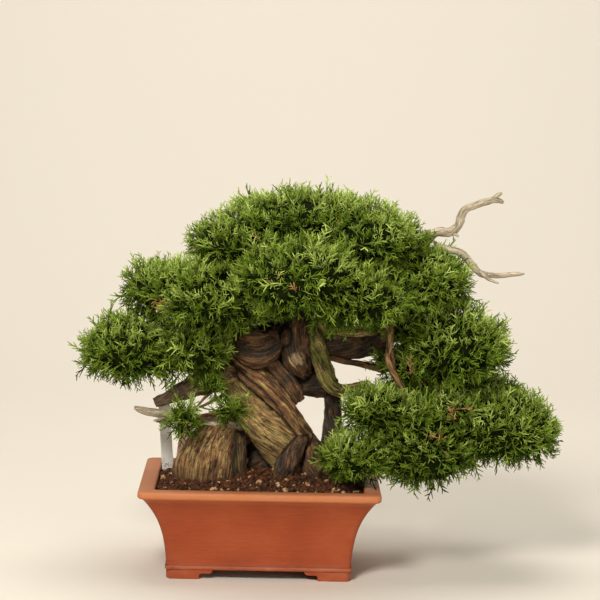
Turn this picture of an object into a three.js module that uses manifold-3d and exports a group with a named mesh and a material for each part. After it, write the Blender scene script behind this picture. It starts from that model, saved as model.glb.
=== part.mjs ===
import * as THREE from 'three';
import { mergeVertices } from 'three/addons/utils/BufferGeometryUtils.js';
import Module from 'manifold-3d';

// Juniper bonsai in a rectangular terracotta pot. Millimetres, +Z up.
// Everything is placed from the pot: z = 0 under the feet, X along the front, Y to the back.

const wasm = await Module();
wasm.setup();

// ---- driving dimensions ----
const potWidth = 250;
const potDepth = 184;
const potHeight = 97;
const potCorner = 7;
const footHeight = 11;
const lipHeight = 8;
const lipOverhang = 4;
const wallInset = 29;          // how far the wall comes in from the lip to the belt
const rimWidth = 17;
const floorThickness = 9;
const footLength = 46;
const footThickness = 15;
const drainRadius = 11;
const drainSpacing = 92;
const wireHoleRadius = 2.6;

const soilDrop = 7;            // soil edge below the rim
const soilCrown = 5;           // rise of the soil in the middle
const drainageThickness = 13;

const meshSize = 34;
const meshThickness = 1.2;
const meshBar = 2;
const meshCells = 4;
const wireRadius = 0.7;
const wireReach = 15;

const labelWidth = 12.5;
const labelThickness = 1;
const labelDepth = 20;         // how far a label's point is below the rim
const labelWallGap = 5;        // from the white label to the pot's inner wall at the rim
const plantedRim = 97;         // the rim height that the plant's coordinates are written for
const clearance = 0.3;         // gap between pieces that touch
const tubeSides = 7;

// ---- shapes ----
function solid(geometry) {
  const plain = geometry.clone();
  plain.deleteAttribute('normal');
  plain.deleteAttribute('uv');
  const merged = mergeVertices(plain, 1e-4);
  return new wasm.Manifold(new wasm.Mesh({
    numProp: 3,
    vertProperties: new Float32Array(merged.attributes.position.array),
    triVerts: new Uint32Array(merged.index.array),
  }));
}

function box(width, depth, height, x, y, z) {
  return solid(new THREE.BoxGeometry(width, depth, height).translate(x, y, z));
}

function rod(radius, bottom, top, x, y, sides = 16) {
  const geometry = new THREE.CylinderGeometry(radius, radius, top - bottom, sides);
  return solid(geometry.rotateX(Math.PI / 2).translate(x, y, (top + bottom) / 2));
}

function roundedRectangle(width, depth, radius) {
  const x = width / 2 - radius;
  const y = depth / 2 - radius;
  const shape = new THREE.Shape();
  shape.absarc(x, y, radius, 0, Math.PI / 2);
  shape.absarc(-x, y, radius, Math.PI / 2, Math.PI);
  shape.absarc(-x, -y, radius, Math.PI, Math.PI * 1.5);
  shape.absarc(x, -y, radius, Math.PI * 1.5, Math.PI * 2);
  return shape;
}

// A rounded rectangle carried up through levels of [height, inset].
function loft(width, depth, radius, levels) {
  const geometry = new THREE.ExtrudeGeometry(roundedRectangle(width, depth, radius), {
    depth: 1, steps: levels.length - 1, bevelEnabled: false, curveSegments: 3,
  });
  const position = geometry.attributes.position;
  for (let i = 0; i < position.count; i++) {
    const [height, inset] = levels[Math.round(position.getZ(i) * (levels.length - 1))];
    const x = position.getX(i) * (width / 2 - inset) / (width / 2);
    const y = position.getY(i) * (depth / 2 - inset) / (depth / 2);
    position.setXYZ(i, x, y, height);
  }
  return solid(geometry);
}

// A tapering limb along a smooth curve through [x, y, z, radius] points, fluted by `flute`.
function limb(points, { grow = 0, flute = 0, steps = points.length + 2, sides = tubeSides } = {}) {
  const curve = new THREE.CatmullRomCurve3(points.map(([x, y, z]) => new THREE.Vector3(x, y, z)));
  const frames = curve.computeFrenetFrames(steps);
  const ring = new THREE.Shape();
  for (let i = 0; i < sides; i++) {
    const angle = i / sides * Math.PI * 2;
    const reach = 1 + (i % 2 ? flute : -flute);
    const corner = [reach * Math.cos(angle), reach * Math.sin(angle)];
    if (i === 0) ring.moveTo(...corner); else ring.lineTo(...corner);
  }
  const geometry = new THREE.ExtrudeGeometry(ring, { depth: 1, steps, bevelEnabled: false });
  const position = geometry.attributes.position;
  const place = new THREE.Vector3();
  for (let i = 0; i < position.count; i++) {
    const step = Math.round(position.getZ(i) * steps);
    const along = curve.getUtoTmapping(step / steps) * (points.length - 1);
    const before = Math.min(Math.floor(along), points.length - 2);
    const radius = grow + THREE.MathUtils.lerp(
      points[before][3], points[before + 1][3], along - before);
    curve.getPointAt(step / steps, place);
    place.addScaledVector(frames.normals[step], position.getX(i) * radius);
    place.addScaledVector(frames.binormals[step], position.getY(i) * radius);
    if (step === 0) place.addScaledVector(frames.tangents[0], -grow);
    if (step === steps) place.addScaledVector(frames.tangents[steps], grow);
    position.setXYZ(i, place.x, place.y, place.z);
  }
  return solid(geometry);
}

function limbs(list, options = {}) {
  return list.map((points) => limb(points, options)).reduce((sum, part) => sum.add(part));
}

// A pad of foliage: a dome above, flatter below.
function pad([x, y, z], [across, deep, tall], grow = 0) {
  const belly = 0.72;
  const geometry = new THREE.IcosahedronGeometry(1, 2);
  geometry.scale(across + grow, deep + grow, tall + grow);
  const position = geometry.attributes.position;
  for (let i = 0; i < position.count; i++) {
    if (position.getZ(i) < 0) position.setZ(i, position.getZ(i) * belly);
  }
  return solid(geometry.translate(x, y, z));
}

// ---- pot ----
const rim = potHeight;
const lipBottom = rim - lipHeight;
const wallBottom = footHeight + 5;
const wallSteps = 8;

// The wall stands nearly upright above the belt and sweeps out under the lip.
function wallInsetAt(height) {
  const rise = (height - wallBottom) / (lipBottom - wallBottom);
  const sweep = 0.78 * Math.pow(rise, 2.8) + 0.22 * rise;
  return lipOverhang + (wallInset - lipOverhang) * (1 - sweep);
}

const outerLevels = [[footHeight - 1, wallInset - 1], [wallBottom - 1, wallInset - 1],
  [wallBottom, wallInset]];
for (let i = 1; i <= wallSteps; i++) {
  const height = wallBottom + (lipBottom - wallBottom) * i / wallSteps;
  outerLevels.push([height, wallInsetAt(height)]);
}
outerLevels.push([lipBottom + 2, 0.5], [rim - 2, 0], [rim, 1.5]);

const floorTop = footHeight + floorThickness;
const wallThickness = rimWidth - lipOverhang - 3;
const innerLevels = [];
for (let i = 0; i <= wallSteps; i++) {
  const height = floorTop + (lipBottom - floorTop) * i / wallSteps;
  innerLevels.push([height, Math.max(wallInsetAt(Math.max(height, wallBottom)) + wallThickness,
    rimWidth)]);
}
const innerTop = [rim, rimWidth];

function cavity(gap, from, to, crown) {
  const inset = (height) => {
    const above = innerLevels.findIndex(([level]) => level >= height);
    if (above < 1) return above === 0 ? innerLevels[0][1] : rimWidth;
    const [low, high] = [innerLevels[above - 1], innerLevels[above]];
    return THREE.MathUtils.mapLinear(height, low[0], high[0], low[1], high[1]);
  };
  const heights = innerLevels.map(([height]) => height)
    .filter((height) => height > from + 1 && height < to - 1);
  const levels = [from, ...heights, to].map((height) => [height, inset(height) + gap]);
  if (crown > 0) {
    levels.push([to + crown * 0.5, rimWidth + 14], [to + crown * 0.85, rimWidth + 34],
      [to + crown, rimWidth + 60]);
  }
  return loft(potWidth, potDepth, potCorner, levels);
}

const bodyOuter = loft(potWidth, potDepth, potCorner, outerLevels);
const bodyInner = loft(potWidth, potDepth, potCorner, [...innerLevels, innerTop, [rim + 1, rimWidth]]);

const footSpanX = potWidth - 2 * wallInset;
const footSpanY = potDepth - 2 * wallInset;
const footRing = loft(footSpanX, footSpanY, potCorner, [[0, 1.5], [1.5, 0], [footHeight, 0]])
  .subtract(loft(footSpanX - 2 * footThickness, footSpanY - 2 * footThickness, 3,
    [[-1, 0], [footHeight, 0]]));

// The cloud cut between two feet: a wide gap with a rounded step near its top at each end.
function cloudCut(span, through) {
  const half = span / 2 - footLength / 2;
  const stepDepth = 14;
  const stepHeight = footHeight * 0.55;
  const cut = new THREE.Shape();
  cut.moveTo(-half, -1);
  cut.lineTo(half, -1);
  cut.lineTo(half, stepHeight * 0.7);
  cut.quadraticCurveTo(half, stepHeight, half - 4, stepHeight);
  cut.lineTo(half - stepDepth + 3, stepHeight);
  cut.quadraticCurveTo(half - stepDepth, stepHeight, half - stepDepth, footHeight - 1);
  cut.lineTo(-half + stepDepth, footHeight - 1);
  cut.quadraticCurveTo(-half + stepDepth, stepHeight, -half + stepDepth - 3, stepHeight);
  cut.lineTo(-half + 4, stepHeight);
  cut.quadraticCurveTo(-half, stepHeight, -half, stepHeight * 0.7);
  const geometry = new THREE.ExtrudeGeometry(cut, {
    depth: through, bevelEnabled: false, curveSegments: 3,
  });
  return geometry.rotateX(Math.PI / 2).translate(0, through / 2, 0);
}
const frontCut = solid(cloudCut(footSpanX - footLength / 2, potDepth));
const sideCut = solid(cloudCut(footSpanY - footLength / 2, potWidth).rotateZ(Math.PI / 2));

const wireHoleSpots = [-1, 1].flatMap((side) => [-1, 1].map((end) => [side * 24, end * 40]));
let pot = bodyOuter.subtract(bodyInner).add(footRing.subtract(frontCut).subtract(sideCut));
for (const side of [-1, 1]) {
  pot = pot.subtract(rod(drainRadius, 0, floorTop + 1, side * drainSpacing / 2, 0));
}
for (const [x, y] of wireHoleSpots) {
  pot = pot.subtract(rod(wireHoleRadius, 0, floorTop + 1, x, y, 8));
}

// ---- drain meshes and the wires that hold them ----
const meshBottom = floorTop + clearance;
const meshPitch = (meshSize - meshBar) / meshCells;
const meshHole = meshPitch - meshBar;

function drainMesh(side) {
  const centre = side * drainSpacing / 2;
  let sheet = box(meshSize, meshSize, meshThickness, centre, 0, meshBottom + meshThickness / 2);
  for (let i = 0; i < meshCells; i++) {
    for (let j = 0; j < meshCells; j++) {
      const x = centre + (i - (meshCells - 1) / 2) * meshPitch;
      const y = (j - (meshCells - 1) / 2) * meshPitch;
      sheet = sheet.subtract(box(meshHole, meshHole, 4 * meshThickness, x, y, meshBottom));
    }
  }
  return sheet;
}

// Over the mesh, down through two of its cells and the drain hole, then bent out under the floor.
function meshWire(side, grow = 0) {
  const centre = side * drainSpacing / 2;
  const over = meshBottom + meshThickness + clearance + wireRadius;
  const under = footHeight - 1 - clearance - wireRadius;
  const leg = meshPitch / 2;
  const y = meshPitch / 2;
  const r = wireRadius;
  return limb([
    [centre - wireReach, y, under, r], [centre - leg - 2, y, under, r],
    [centre - leg, y, under + 3, r], [centre - leg, y, over - 2, r],
    [centre - leg + 2, y, over, r], [centre + leg - 2, y, over, r],
    [centre + leg, y, over - 2, r], [centre + leg, y, under + 3, r],
    [centre + leg + 2, y, under, r], [centre + wireReach, y, under, r],
  ], { grow, sides: 4, steps: 24 });
}

// ---- wood: [x, y, z, radius] ----
const soilLevel = rim - soilDrop;
const lift = [0, 0, rim - plantedRim];

const roots = [
  [[-58, 2, 62, 37], [-56, 4, 86, 36], [-52, 6, 106, 35], [-47, 9, 124, 32], [-38, 15, 140, 25],
    [-14, 24, 152, 17], [6, 30, 156, 12]],
  [[-30, 34, 70, 24], [-8, 34, 100, 23], [20, 34, 104, 22], [46, 32, 80, 20]],
  [[48, 30, 66, 16], [42, 26, 99, 15], [29, 18, 120, 17], [9, 12, 142, 18], [-10, 10, 162, 17],
    [-25, 12, 185, 15], [-31, 18, 206, 14]],
  [[74, 30, 68, 15], [66, 28, 99, 13], [52, 16, 126, 11], [35, 8, 155, 11], [17, 4, 180, 11],
    [0, 4, 200, 11], [-17, 10, 213, 11], [-26, 20, 227, 11]],
  [[78, 22, 66, 18], [72, 22, 92, 14], [72, 26, 116, 11], [75, 28, 141, 10], [76, 28, 163, 10],
    [76, 20, 184, 9]],
  [[46, 4, 142, 6], [38, -6, 120, 7], [26, -14, 100, 7], [18, -18, 80, 6]],
  [[60, 6, 120, 8], [62, -4, 100, 9], [66, -10, 84, 8]],
];
const loops = [
  [[-37, 22, 222, 15], [-22, 14, 228, 17], [-5, 8, 236, 17], [12, 8, 244, 16], [37, 18, 262, 14]],
  [[-31, 10, 254, 9], [-24, 0, 241, 14], [-7, -6, 235, 17], [10, 0, 241, 14], [18, 10, 254, 9]],
  [[39, 16, 263, 13], [32, 6, 247, 12], [32, 4, 232, 11], [40, 10, 217, 12], [42, 22, 198, 13],
    [41, 30, 175, 14]],
  [[40, 12, 260, 10], [54, 4, 241, 9], [60, 4, 227, 8], [68, 6, 208, 8], [75, 12, 191, 8],
    [93, 14, 192, 6], [112, 8, 197, 5]],
  [[24, 34, 192, 14], [52, 32, 193, 14], [77, 22, 188, 10]],
];
const branches = [
  [[39, 16, 256, 15], [41, 18, 288, 11], [44, 12, 325, 8], [37, 8, 370, 4]],
  [[41, 18, 285, 9], [80, 22, 300, 7], [125, 22, 312, 6], [166, 19, 326, 5]],
  [[40, 16, 292, 8], [5, 20, 320, 6], [-30, 10, 345, 4]],
  [[41, 14, 258, 14], [65, 12, 248, 12], [90, 14, 241, 11], [115, 12, 241, 9], [138, 4, 250, 7],
    [165, 0, 254, 5], [196, -4, 250, 4], [226, 0, 240, 3]],
  [[112, 12, 244, 6], [114, 4, 268, 5], [119, -10, 287, 4], [132, -36, 274, 3], [130, -46, 247, 3],
    [131, -48, 230, 3], [141, -46, 213, 3], [147, -42, 194, 3], [147, -38, 176, 3],
    [141, -30, 157, 3]],
  [[108, 9, 196, 5], [123, 4, 185, 5], [142, -14, 156, 4], [178, -20, 140, 4], [220, -16, 137, 3.5],
    [257, -8, 146, 3]],
  [[134, -8, 165, 4], [116, -28, 148, 3], [96, -38, 136, 2.5]],
  [[-29, 22, 229, 9], [-52, 24, 249, 7.5], [-82, 16, 273, 6], [-111, 6, 290, 4]],
  [[-30, 14, 208, 10], [-61, 8, 213, 8], [-92, 0, 218, 6.5], [-129, -6, 224, 5],
    [-158, -8, 228, 3.5]],
  [[41, 20, 280, 8], [28, 60, 290, 6], [-20, 84, 288, 4.5], [-60, 86, 286, 3]],
  [[50, 18, 268, 8], [80, 55, 280, 6], [125, 82, 294, 4]],
  [[108, 12, 243, 6], [150, 40, 215, 5], [205, 58, 184, 4], [240, 60, 176, 3]],
  [[43, 14, 300, 7], [40, -35, 315, 5], [36, -85, 318, 3.5]],
  [[44, 12, 320, 6], [75, -20, 320, 4.5], [104, -50, 300, 3]],
  [[44, 12, 330, 5], [80, 0, 348, 4], [106, -8, 356, 3]],
  [[-28, 8, 226, 6], [-42, -16, 262, 5], [-52, -30, 288, 3.5]],
  [[-12, 8, 165, 6], [-36, 0, 165, 5], [-58, -12, 163, 4], [-84, -20, 162, 3]],
  [[-24, 2, 176, 4], [-34, -12, 178, 3]],
  [[-22, 10, 200, 6], [-44, -10, 199, 3.5], [-58, -21, 197, 2.4]],
];
const wood = (grow) => limbs([...roots, ...loops], { grow, flute: 0.06 })
  .add(limbs(branches, { grow, sides: 5, steps: 6 })).translate(lift);
const trunk = wood(0);
const trunkSpace = wood(clearance);

// ---- deadwood ----
const deadwoodLines = {
  deadwood_upper: [
    [[165, 20, 322, 6], [168, 18, 346, 5.5], [180, 14, 360, 5], [194, 12, 361, 4.6],
      [203, 10, 369, 4.2], [207, 9, 381, 4], [217, 8, 388, 3.8], [230, 7, 393, 3.4],
      [243, 6, 396, 2.4], [248, 6, 395, 1.2]],
    [[234, 7, 393, 3], [243, 4, 401, 2.2], [247, 3, 403, 1.2]],
  ],
  deadwood_lower: [
    [[168, 17, 330, 4.5], [178, 13, 338, 4.4], [191, 10, 341, 4.2], [204, 8, 339, 4],
      [216, 6, 329, 3.6], [227, 5, 319, 3.2], [239, 4, 316, 2.8], [254, 3, 317, 2.3],
      [273, 2, 319, 1.2]],
    [[222, 5, 322, 2.4], [234, 2, 312, 2], [246, -1, 308, 1]],
  ],
  deadwood_left: [
    [[-22, 5, 150, 5], [-46, 0, 153, 5], [-75, -4, 161, 4.6], [-102, -6, 163, 4.2],
      [-120, -7, 166, 3.6], [-134, -8, 169, 2]],
  ],
  deadwood_stub: [
    [[-32, 12, 204, 13], [-57, 6, 196, 12.5], [-81, 2, 187, 10.5], [-98, 0, 180, 8],
      [-111, 0, 175, 6]],
  ],
};

// ---- labels, standing in the soil behind the left root ----
function label(height, lean, x, y, bottom, grow = 0) {
  const width = labelWidth;
  const point = width * 0.55;
  const face = new THREE.Shape();
  face.moveTo(0, -grow * 2);
  face.lineTo(width / 2 + grow, point);
  face.lineTo(width / 2 + grow, height + grow);
  face.lineTo(-width / 2 - grow, height + grow);
  face.lineTo(-width / 2 - grow, point);
  const geometry = new THREE.ExtrudeGeometry(face, {
    depth: labelThickness + 2 * grow, bevelEnabled: false,
  });
  geometry.translate(0, 0, -labelThickness / 2 - grow).rotateX(Math.PI / 2).rotateY(lean);
  return solid(geometry.translate(x, y, bottom));
}
const whiteX = -(potWidth / 2 - rimWidth) + labelWidth / 2 + labelWallGap;
const labels = {
  label_white: (grow) => label(108, -0.07, whiteX, 46, rim - labelDepth, grow),
  label_salmon: (grow) => label(84, 0.12, whiteX + 7, 52, rim - labelDepth - 2, grow),
};

// ---- foliage: centre, [half width, half depth, height above centre] ----
const foliage = {
  foliage_top: [[36, 0, 372], [66, 72, 38]],
  foliage_top_left: [[-26, -10, 344], [54, 68, 38]],
  foliage_top_right: [[106, -6, 350], [58, 72, 40]],
  foliage_front: [[37, -82, 314], [68, 46, 43]],
  foliage_front_left: [[-50, -44, 287], [58, 54, 42]],
  foliage_centre: [[18, 22, 296], [58, 50, 40]],
  foliage_front_right: [[104, -60, 292], [52, 50, 34]],
  foliage_left_upper: [[-106, 4, 294], [44, 54, 34]],
  foliage_left_lower: [[-142, -6, 228], [52, 54, 44]],
  foliage_left_inner: [[-74, -12, 232], [44, 46, 32]],
  foliage_right_upper: [[168, 2, 306], [50, 64, 42]],
  foliage_right_middle: [[198, -6, 236], [61, 62, 51]],
  foliage_right_outer: [[252, -8, 150], [64, 62, 46]],
  foliage_right_lower: [[172, -22, 134], [52, 56, 54]],
  foliage_right_centre: [[124, -26, 171], [42, 44, 32]],
  foliage_right_inner: [[98, -42, 124], [36, 38, 30]],
  foliage_back_left: [[-44, 82, 280], [78, 52, 46]],
  foliage_back_right: [[118, 84, 288], [84, 52, 48]],
  foliage_back_low: [[226, 62, 168], [62, 42, 40]],
  tuft_left: [[-82, -22, 158], [22, 18, 24]],
  tuft_middle: [[-32, -20, 169], [19, 13, 22]],
  tuft_small: [[-54, -20, 196], [14, 12, 13]],
};

// ---- assembly ----
const materials = {
  terracotta: ['#9c4a2c', 0.75, 0],
  soil: ['#3a2b22', 0.95, 0],
  grit: ['#8f8672', 0.95, 0],
  bark: ['#6b4a33', 0.85, 0],
  deadwood: ['#b0a793', 0.8, 0],
  foliage: ['#3f6b22', 0.8, 0],
  white_plastic: ['#e9e8e2', 0.45, 0],
  salmon_plastic: ['#dd8f78', 0.45, 0],
  mesh_plastic: ['#22252a', 0.6, 0],
  wire: ['#8f9296', 0.4, 1],
};
const bonsai = new THREE.Group();
bonsai.name = 'bonsai';

function addPiece(name, body, materialName) {
  const { vertProperties, triVerts, numProp } = body.getMesh();
  const positions = new Float32Array(triVerts.length * 3);
  triVerts.forEach((vertex, i) => {
    for (let axis = 0; axis < 3; axis++) {
      positions[i * 3 + axis] = vertProperties[vertex * numProp + axis];
    }
  });
  const geometry = new THREE.BufferGeometry();
  geometry.setAttribute('position', new THREE.BufferAttribute(positions, 3));
  geometry.computeVertexNormals();
  const [color, roughness, metalness] = materials[materialName];
  const mesh = new THREE.Mesh(geometry,
    new THREE.MeshStandardMaterial({ color, roughness, metalness }));
  mesh.name = name;
  bonsai.add(mesh);
}

// Of several bodies, the largest: what a cut leaves of one grown piece.
function largest(body) {
  return body.decompose().sort((a, b) => b.volume() - a.volume())[0];
}

addPiece('pot', pot, 'terracotta');

const wires = [-1, 1].map((side) => meshWire(side));
const wireSpace = [-1, 1].map((side) => meshWire(side, clearance))
  .reduce((sum, wire) => sum.add(wire));
addPiece('drain_mesh_left', drainMesh(-1), 'mesh_plastic');
addPiece('drain_mesh_right', drainMesh(1), 'mesh_plastic');
addPiece('mesh_wire_left', wires[0], 'wire');
addPiece('mesh_wire_right', wires[1], 'wire');

const drainageBottom = meshBottom + meshThickness + clearance;
const drainageTop = drainageBottom + drainageThickness;
const drainage = cavity(clearance, drainageBottom, drainageTop, 0).subtract(wireSpace);
addPiece('drainage_layer', drainage, 'grit');

let soil = cavity(clearance, drainageTop + clearance, soilLevel, soilCrown).subtract(trunkSpace);
for (const make of Object.values(labels)) soil = soil.subtract(make(clearance));
addPiece('soil', soil, 'soil');
addPiece('trunk', trunk, 'bark');
addPiece('label_white', labels.label_white(0), 'white_plastic');
addPiece('label_salmon', labels.label_salmon(0), 'salmon_plastic');

let taken = trunkSpace;
for (const [name, lines] of Object.entries(deadwoodLines)) {
  const dead = (grow) => limbs(lines, { sides: 5, grow }).translate(lift);
  addPiece(name, largest(dead(0).subtract(taken)), 'deadwood');
  taken = taken.add(dead(clearance));
}
for (const make of Object.values(labels)) taken = taken.add(make(clearance));
for (const [name, [centre, size]] of Object.entries(foliage)) {
  addPiece(name, largest(pad(centre, size).translate(lift).subtract(taken)), 'foliage');
  taken = taken.add(pad(centre, size, clearance).translate(lift));
}

// The middle of the whole stands over the origin, the feet on z = 0.
const bounds = new THREE.Box3().setFromObject(bonsai);
const middle = bounds.getCenter(new THREE.Vector3());
for (const mesh of bonsai.children) mesh.geometry.translate(-middle.x, -middle.y, -bounds.min.z);

export default bonsai;
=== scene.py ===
import bpy
import bmesh
import math
import random
import numpy as np
from mathutils import Matrix, Vector, noise


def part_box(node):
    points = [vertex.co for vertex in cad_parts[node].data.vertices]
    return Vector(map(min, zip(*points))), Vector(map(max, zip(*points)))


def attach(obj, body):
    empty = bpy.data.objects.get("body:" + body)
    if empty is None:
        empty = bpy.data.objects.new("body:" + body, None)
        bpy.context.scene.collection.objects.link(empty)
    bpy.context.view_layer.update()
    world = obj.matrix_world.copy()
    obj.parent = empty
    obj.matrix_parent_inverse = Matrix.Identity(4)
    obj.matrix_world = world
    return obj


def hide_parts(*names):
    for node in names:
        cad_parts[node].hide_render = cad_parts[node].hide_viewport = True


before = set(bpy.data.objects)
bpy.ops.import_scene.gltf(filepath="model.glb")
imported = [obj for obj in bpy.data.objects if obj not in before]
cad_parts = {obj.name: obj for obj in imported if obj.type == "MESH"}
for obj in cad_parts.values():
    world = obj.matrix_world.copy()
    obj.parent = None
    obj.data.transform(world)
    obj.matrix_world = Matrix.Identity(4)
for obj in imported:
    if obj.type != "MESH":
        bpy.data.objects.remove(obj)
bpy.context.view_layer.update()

# Everything is worked out in millimetres from the middle of the pot's foot, then moved into the frame.
mm = 0.001
potLow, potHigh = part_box("pot")
potMiddle = (potLow + potHigh) / 2
intoFrame = Matrix.Translation((potMiddle.x, potMiddle.y, 0)) @ Matrix.Scale(mm, 4)
fullTurn = 6.28


def addObject(name, data):
    made = bpy.data.objects.new(name, data)
    bpy.context.scene.collection.objects.link(made)
    return made


def meshFrom(bm, outward=True):
    if outward:
        bmesh.ops.recalc_face_normals(bm, faces=bm.faces[:])
    mesh = bpy.data.meshes.new("made")
    bm.to_mesh(mesh)
    bm.free()
    return mesh


# The points and triangles of a small shape that is copied many times.
def toArrays(bm):
    bm.verts.index_update()
    points = np.array([vert.co[:] for vert in bm.verts])
    triangles = np.array([[vert.index for vert in face.verts] for face in bm.faces])
    bm.free()
    return points, triangles


# Many placed copies of a small shape as one mesh.
def meshFromArrays(points, triangles):
    mesh = bpy.data.meshes.new("copies")
    mesh.vertices.add(len(points))
    mesh.vertices.foreach_set("co", points.ravel())
    mesh.loops.add(len(triangles) * 3)
    mesh.loops.foreach_set("vertex_index", triangles.ravel())
    mesh.polygons.add(len(triangles))
    mesh.polygons.foreach_set("loop_start", np.arange(len(triangles)) * 3)
    mesh.update(calc_edges=True)
    return mesh


# Moves a mesh into the frame and gives it its finish. node is the solid it replaces, if not its namesake.
def finishPiece(name, mesh, slotName, node=None, smooth=True):
    mesh.name = name
    mesh.transform(intoFrame)
    mesh.polygons.foreach_set("use_smooth", [smooth] * len(mesh.polygons))
    mesh.materials.clear()
    mesh.materials.append(finishes[slotName])
    piece = addObject(name, mesh)
    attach(piece, "root")
    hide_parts(node or name)


# The mesh after (kind, settings) modifiers.
def bakedModifiers(mesh, *modifiers):
    holder = addObject("holder", mesh)
    for kind, settings in modifiers:
        modifier = holder.modifiers.new(kind, kind)
        for key, value in settings.items():
            setattr(modifier, key, value)
    bpy.context.view_layer.update()
    shaped = holder.evaluated_get(bpy.context.evaluated_depsgraph_get())
    result = bpy.data.meshes.new_from_object(shaped)
    bpy.data.objects.remove(holder)
    return result


def grownVerts(result):
    return [part for part in result["geom"] if isinstance(part, bmesh.types.BMVert)]


# A Catmull-Rom run through (x, y, z, radius) points, evenly spaced.
def smoothPath(points, spacing):
    p = np.array(points, float)
    ends = np.vstack([2 * p[0] - p[1], p, 2 * p[-1] - p[-2]])
    fine = []
    for i in range(len(p) - 1):
        a, b, c, d = ends[i:i + 4]
        for t in np.arange(0, 1, 0.05):
            fine.append(0.5 * (2 * b + (c - a) * t + (2 * a - 5 * b + 4 * c - d) * t * t
                               + (3 * b - 3 * c + d - a) * t ** 3))
    fine.append(p[-1])
    fine = np.array(fine)
    steps = np.r_[0, np.cumsum(np.linalg.norm(np.diff(fine[:, :3], axis=0), axis=1))]
    count = max(4, int(round(steps[-1] / spacing)) + 1)
    at = np.linspace(0, steps[-1], count)
    return np.column_stack([np.interp(at, steps, fine[:, k]) for k in range(4)]), at


# Side vectors carried along a path without twisting.
def carriedFrames(path):
    run = np.gradient(path[:, :3], axis=0)
    run /= np.linalg.norm(run, axis=1)[:, None]
    side = np.cross(run[0], (0, 1, 0.2))
    side /= np.linalg.norm(side)
    sides = []
    for tangent in run:
        side = side - tangent * side.dot(tangent)
        side /= np.linalg.norm(side)
        sides.append(side)
    sides = np.array(sides)
    return sides, np.cross(run, sides)


# A closed tube along points. shape(angle, along) scales the radius.
def growTube(bm, points, spacing, sides, shape=lambda angle, along: 1):
    path, along = smoothPath(points, spacing)
    side, cross = carriedFrames(path)
    ring = list(bmesh.ops.create_circle(bm, cap_ends=True, radius=1, segments=sides)["verts"])
    first, face = ring, ring[0].link_faces[0]
    angles = [2 * math.pi * k / sides for k in range(sides)]
    for i in range(len(path)):
        if i:
            face = bmesh.ops.extrude_discrete_faces(bm, faces=[face])["faces"][0]
            ring = [loop.vert for loop in face.loops]
        centre, radius = path[i, :3], path[i, 3]
        for vert, angle in zip(ring, angles):
            reach = radius * shape(angle, along[i])
            vert.co = centre + (side[i] * math.cos(angle) + cross[i] * math.sin(angle)) * reach
    start = {edge for vert in first for edge in vert.link_edges if edge.is_boundary}
    bmesh.ops.holes_fill(bm, edges=list(start), sides=0)


def newMaterial(name):
    material = bpy.data.materials.new(name)
    material.use_nodes = True
    material.node_tree.nodes.clear()
    return material, material.node_tree


def feed(tree, socket, value):
    if isinstance(value, bpy.types.NodeSocket):
        tree.links.new(value, socket)
    else:
        socket.default_value = value


def rgba(value):
    return value if isinstance(value, bpy.types.NodeSocket) else (*value, 1)


# n0, n1 and so on are inputs by number, the rest are inputs by name.
def addNode(tree, kind, settings=None, **inputs):
    node = tree.nodes.new("ShaderNode" + kind)
    for key, value in (settings or {}).items():
        setattr(node, key, value)
    for key, value in inputs.items():
        byNumber = key[0] == "n" and key[1:].isdigit()
        feed(tree, node.inputs[int(key[1:]) if byNumber else key], value)
    return node


def addRamp(tree, factor, *stops):
    ramp = addNode(tree, "ValToRGB", n0=factor)
    elements = ramp.color_ramp.elements
    while len(elements) < len(stops):
        elements.new(0.5)
    for element, (position, colour) in zip(elements, stops):
        element.position = position
        element.color = rgba(colour)
    return ramp.outputs["Color"]


def mixColour(tree, factor, first, second):
    return addNode(tree, "Mix", {"data_type": "RGBA"}, n0=factor, n6=rgba(first), n7=rgba(second)).outputs[2]


def calc(tree, operation, first, second=0.0, clamp=False):
    return addNode(tree, "Math", {"operation": operation, "use_clamp": clamp}, n0=first, n1=second).outputs[0]


def plus(tree, first, second, clamp=False):
    return calc(tree, "ADD", first, second, clamp)


def minus(tree, first, second, clamp=False):
    return calc(tree, "SUBTRACT", first, second, clamp)


def times(tree, first, second, clamp=False):
    return calc(tree, "MULTIPLY", first, second, clamp)


def mapRange(tree, value, fromLow, fromHigh, toLow, toHigh, kind="LINEAR"):
    return addNode(tree, "MapRange", {"interpolation_type": kind}, Value=value, n1=fromLow, n2=fromHigh,
                   n3=toLow, n4=toHigh).outputs[0]


def noiseField(tree, place, scale, detail=2.0, roughness=0.5):
    return addNode(tree, "TexNoise", Vector=place, Scale=scale, Detail=detail,
                   Roughness=roughness).outputs["Fac"]


def bump(tree, height, strength, distance):
    return addNode(tree, "Bump", Strength=strength, Distance=distance, Height=height).outputs[0]


def objectPlace(tree):
    return addNode(tree, "TexCoord").outputs["Object"]


def readLayer(tree, name, output="Fac"):
    return addNode(tree, "Attribute", {"attribute_name": name}).outputs[output]


def surface(tree, colour, roughness, normal=None, specular=0.5):
    shader = addNode(tree, "BsdfPrincipled", Roughness=roughness)
    feed(tree, shader.inputs["Base Color"], rgba(colour))
    feed(tree, shader.inputs["Specular IOR Level"], specular)
    if normal:
        feed(tree, shader.inputs["Normal"], normal)
    addNode(tree, "OutputMaterial", Surface=shader.outputs[0])


def newGroup(name, inputs, outputs):
    group = bpy.data.node_groups.new(name, "ShaderNodeTree")
    for title, kind, value in inputs:
        socket = group.interface.new_socket(title, in_out="INPUT", socket_type="NodeSocket" + kind)
        if value is not None:
            socket.default_value = value
    for title, kind in outputs:
        group.interface.new_socket(title, in_out="OUTPUT", socket_type="NodeSocket" + kind)
    return group, group.nodes.new("NodeGroupInput").outputs, group.nodes.new("NodeGroupOutput").inputs


def useGroup(tree, group, **inputs):
    node = addNode(tree, "Group", {"node_tree": group})
    for key, value in inputs.items():
        feed(tree, node.inputs[key], value)
    return node.outputs


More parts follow.
